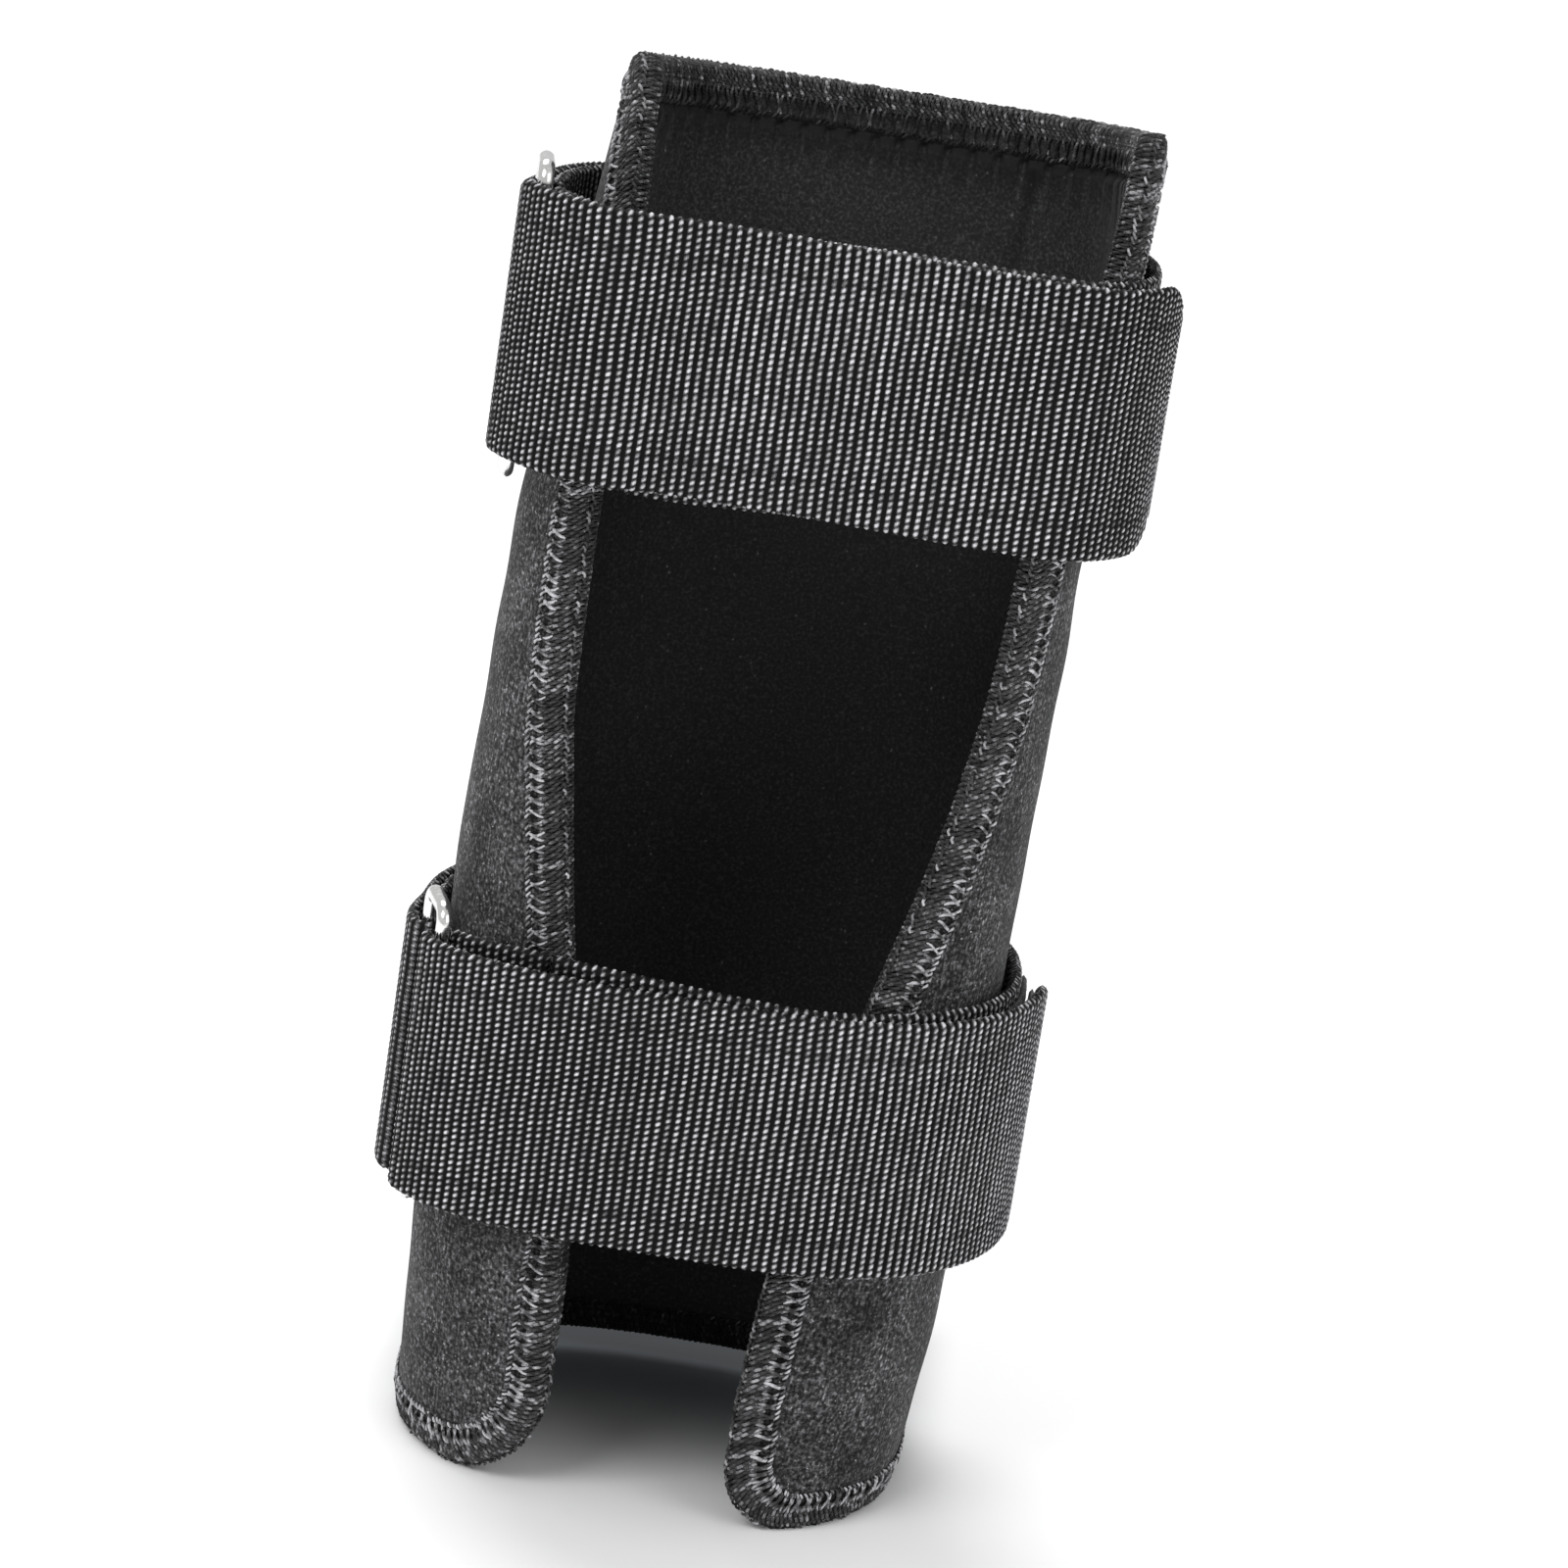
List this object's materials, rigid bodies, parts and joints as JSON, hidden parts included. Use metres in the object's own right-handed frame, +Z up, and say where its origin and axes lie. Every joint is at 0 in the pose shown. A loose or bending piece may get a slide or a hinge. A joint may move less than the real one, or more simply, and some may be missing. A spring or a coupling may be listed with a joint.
{
  "type": "wrist guard",
  "caption": "Open neoprene wrist sleeve with a stay pocket on the back, closed by two webbing straps that pass through wire rings and fold back onto hook and loop patches",
  "frame": {"origin": "under the middle of the whole object, on the plane it stands on", "axes": "+Z up along the sleeve, -Y out of the opening between the lips, +X to the right seen from the opening"},
  "size_m": [0.0956, 0.0746, 0.2041],
  "materials": {
    "neoprene": "knit faced foam neoprene, dark charcoal",
    "lining": "smooth near-black lining",
    "thread": "bulky nylon overlock thread, dark grey",
    "webbing": "heavy ribbed webbing, charcoal with bright rib crowns",
    "pocket": "dense woven pocket cloth",
    "hook": "hook fastener, black",
    "loop": "loop fastener, black",
    "stay": "moulded black plastic",
    "wire": "bright nickel plated steel wire"
  },
  "bodies": {
    "sleeve": {"shell": "neoprene", "lining": "lining", "top_binding": "thread", "left_lip_binding": "thread", "right_lip_binding": "thread", "bottom_binding": "thread", "stay_pocket": "pocket", "pocket_stitching": "thread", "upper_ring_tab": "webbing", "upper_tab_stitching": "thread", "upper_strap_inner": "webbing", "upper_anchor_stitching": "thread", "upper_loop_patch": "loop", "lower_ring_tab": "webbing", "lower_tab_stitching": "thread", "lower_strap_inner": "webbing", "lower_anchor_stitching": "thread", "lower_loop_patch": "loop"},
    "stay": {"stay": "stay"},
    "upper_ring": {"upper_ring": "wire"},
    "upper_run": {"upper_strap_outer": "webbing"},
    "upper_end": {"upper_strap_end": "webbing", "upper_hook_patch": "hook"},
    "lower_ring": {"lower_ring": "wire"},
    "lower_run": {"lower_strap_outer": "webbing"},
    "lower_end": {"lower_strap_end": "webbing", "lower_hook_patch": "hook"}
  },
  "joints": [
    {"name": "stay_slide", "type": "slide", "parent": "sleeve", "child": "stay", "axis": [0, 0, 1], "range_m": [0, 0.168]},
    {"name": "upper_ring_swing", "type": "hinge", "parent": "sleeve", "child": "upper_ring", "pos_m": [-0.04287, -0.00778, 0.16643], "axis": [0, 0, -1], "range_deg": [0, 35]},
    {"name": "upper_run_swing", "type": "hinge", "parent": "upper_ring", "child": "upper_run", "pos_m": [-0.04171, -0.01823, 0.16643], "axis": [0, 0, -1], "range_deg": [0, 115]},
    {"name": "upper_end_peel", "type": "hinge", "parent": "upper_run", "child": "upper_end", "pos_m": [0.02595, -0.0277, 0.16643], "axis": [0, 0, -1], "range_deg": [0, 90]},
    {"name": "lower_ring_swing", "type": "hinge", "parent": "sleeve", "child": "lower_ring", "pos_m": [-0.04396, -0.01259, 0.06043], "axis": [0, 0, -1], "range_deg": [0, 35]},
    {"name": "lower_run_swing", "type": "hinge", "parent": "lower_ring", "child": "lower_run", "pos_m": [-0.04103, -0.02267, 0.06043], "axis": [0, 0, -1], "range_deg": [0, 115]},
    {"name": "lower_end_peel", "type": "hinge", "parent": "lower_run", "child": "lower_end", "pos_m": [0.03596, -0.02625, 0.06043], "axis": [0, 0, -1], "range_deg": [0, 90]}
  ]
}
